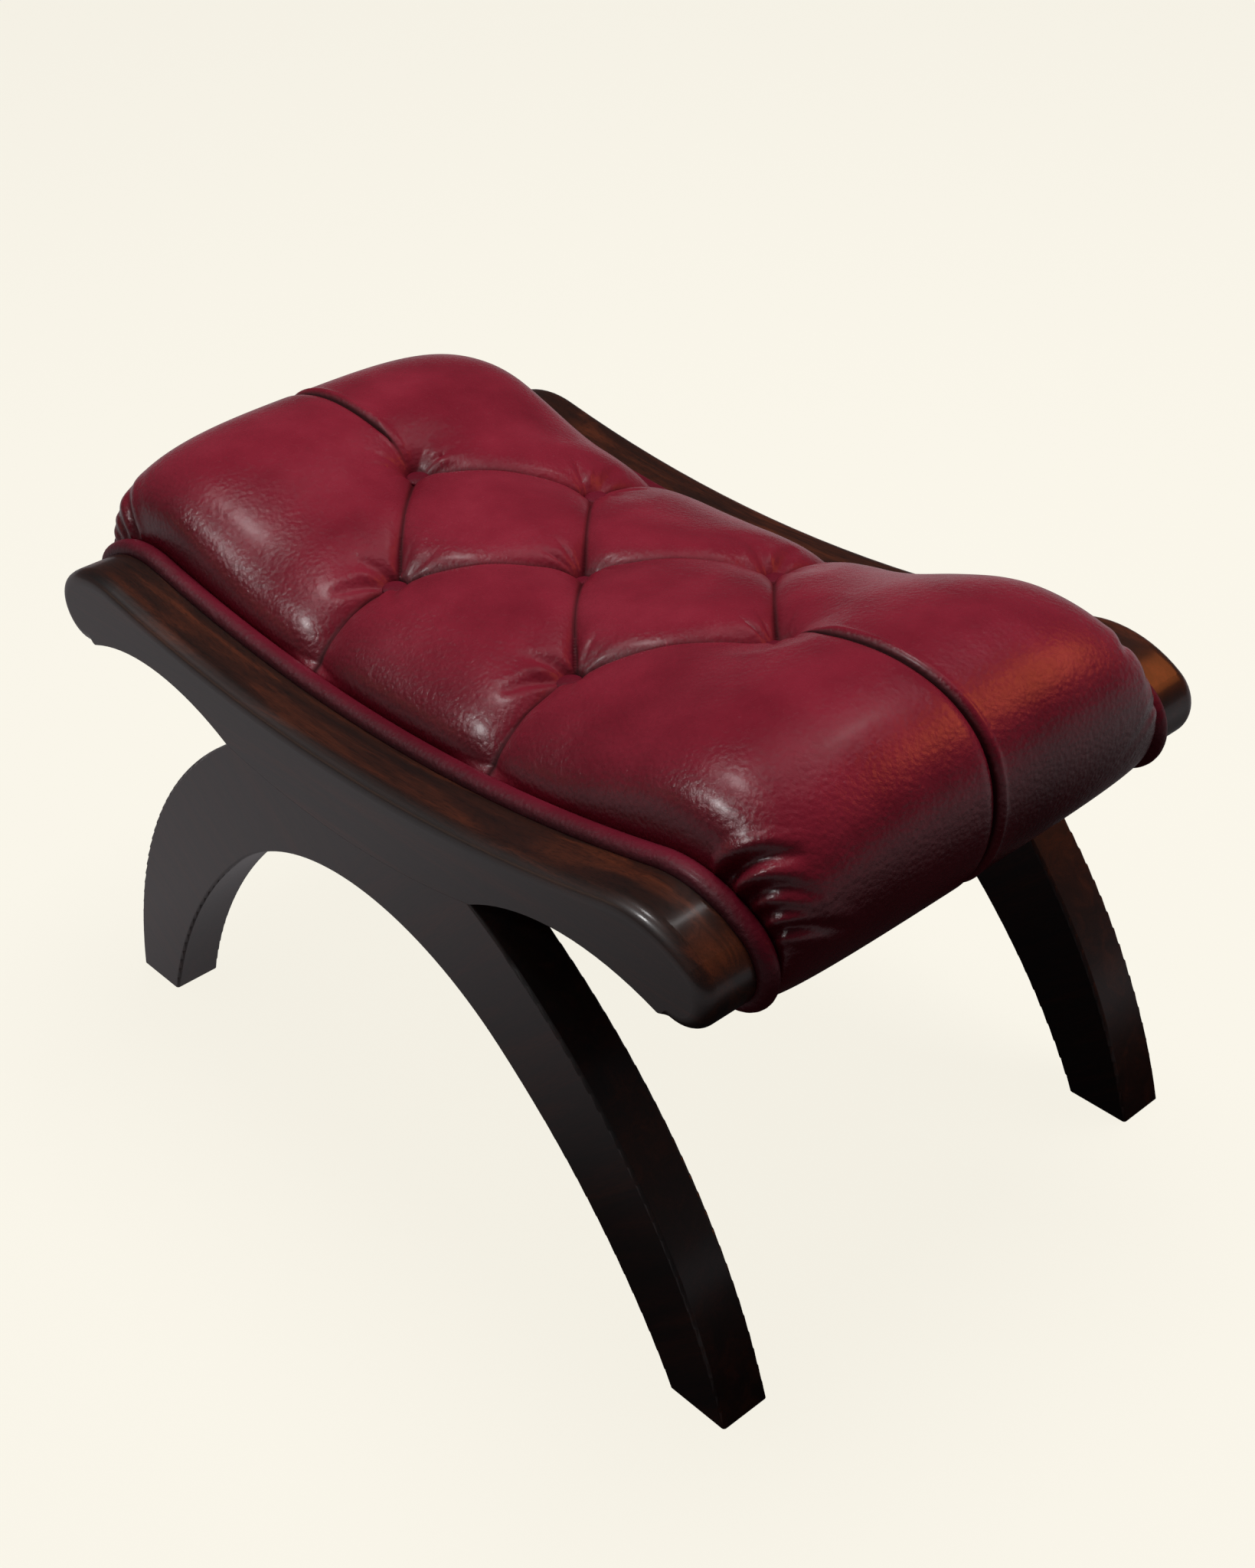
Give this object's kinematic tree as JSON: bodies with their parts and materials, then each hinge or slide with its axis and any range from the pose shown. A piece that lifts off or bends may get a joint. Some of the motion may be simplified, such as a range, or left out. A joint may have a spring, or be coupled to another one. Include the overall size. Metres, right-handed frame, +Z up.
{
  "type": "footstool",
  "caption": "Low upholstered footstool: deep-buttoned saddle cushion with rolled ends between two scroll-ended side rails on half-arch wooden legs.",
  "frame": {"origin": "on the floor, midway between the four feet", "axes": "+X along the side rails, towards one rolled end; +Y across the stool, from one side frame to the other; +Z up"},
  "size_m": [0.6374, 0.38, 0.384],
  "materials": {
    "polished_mahogany": "dark mahogany stain under a glossy French-polish film",
    "bare_beech": "bare planed beech",
    "zinc_steel": "zinc-plated steel",
    "jute_webbing": "woven jute webbing",
    "hessian": "loose-woven hessian",
    "black_cambric": "plain black upholsterer's cambric",
    "upholstery_foam": "open-cell upholstery foam",
    "oxblood_leather": "oxblood aniline leather with a waxed gloss and fine grain",
    "waxed_twine": "waxed linen twine and cotton piping cord",
    "washer_fibre": "pressed fibre washer"
  },
  "bodies": {
    "root": {"rail_near": "polished_mahogany", "rail_far": "polished_mahogany", "leg_near_front": "polished_mahogany", "leg_near_back": "polished_mahogany", "leg_far_front": "polished_mahogany", "leg_far_back": "polished_mahogany", "arch_dowel_near": "bare_beech", "arch_dowel_far": "bare_beech", "rail_dowels_near": "bare_beech", "rail_dowels_far": "bare_beech", "seat_batten_near": "bare_beech", "seat_batten_far": "bare_beech", "end_rail_front": "bare_beech", "end_rail_back": "bare_beech", "corner_block_near_front": "bare_beech", "corner_block_near_back": "bare_beech", "corner_block_far_front": "bare_beech", "corner_block_far_back": "bare_beech", "frame_screws_near": "zinc_steel", "frame_screws_far": "zinc_steel", "webbing_strap_1": "jute_webbing", "webbing_strap_2": "jute_webbing", "webbing_strap_3": "jute_webbing", "webbing_strap_4": "jute_webbing", "webbing_strap_5": "jute_webbing", "deck_cloth": "hessian", "dust_cover": "black_cambric", "foam_pad": "upholstery_foam", "leather_cover": "oxblood_leather", "button_1": "oxblood_leather", "button_2": "oxblood_leather", "button_3": "oxblood_leather", "button_4": "oxblood_leather", "button_5": "oxblood_leather", "button_6": "oxblood_leather", "button_7": "oxblood_leather", "tufting_twine": "waxed_twine", "tufting_washers": "washer_fibre", "piping_near": "oxblood_leather", "piping_far": "oxblood_leather", "piping_cord_near": "waxed_twine", "piping_cord_far": "waxed_twine"}
  },
  "joints": []
}
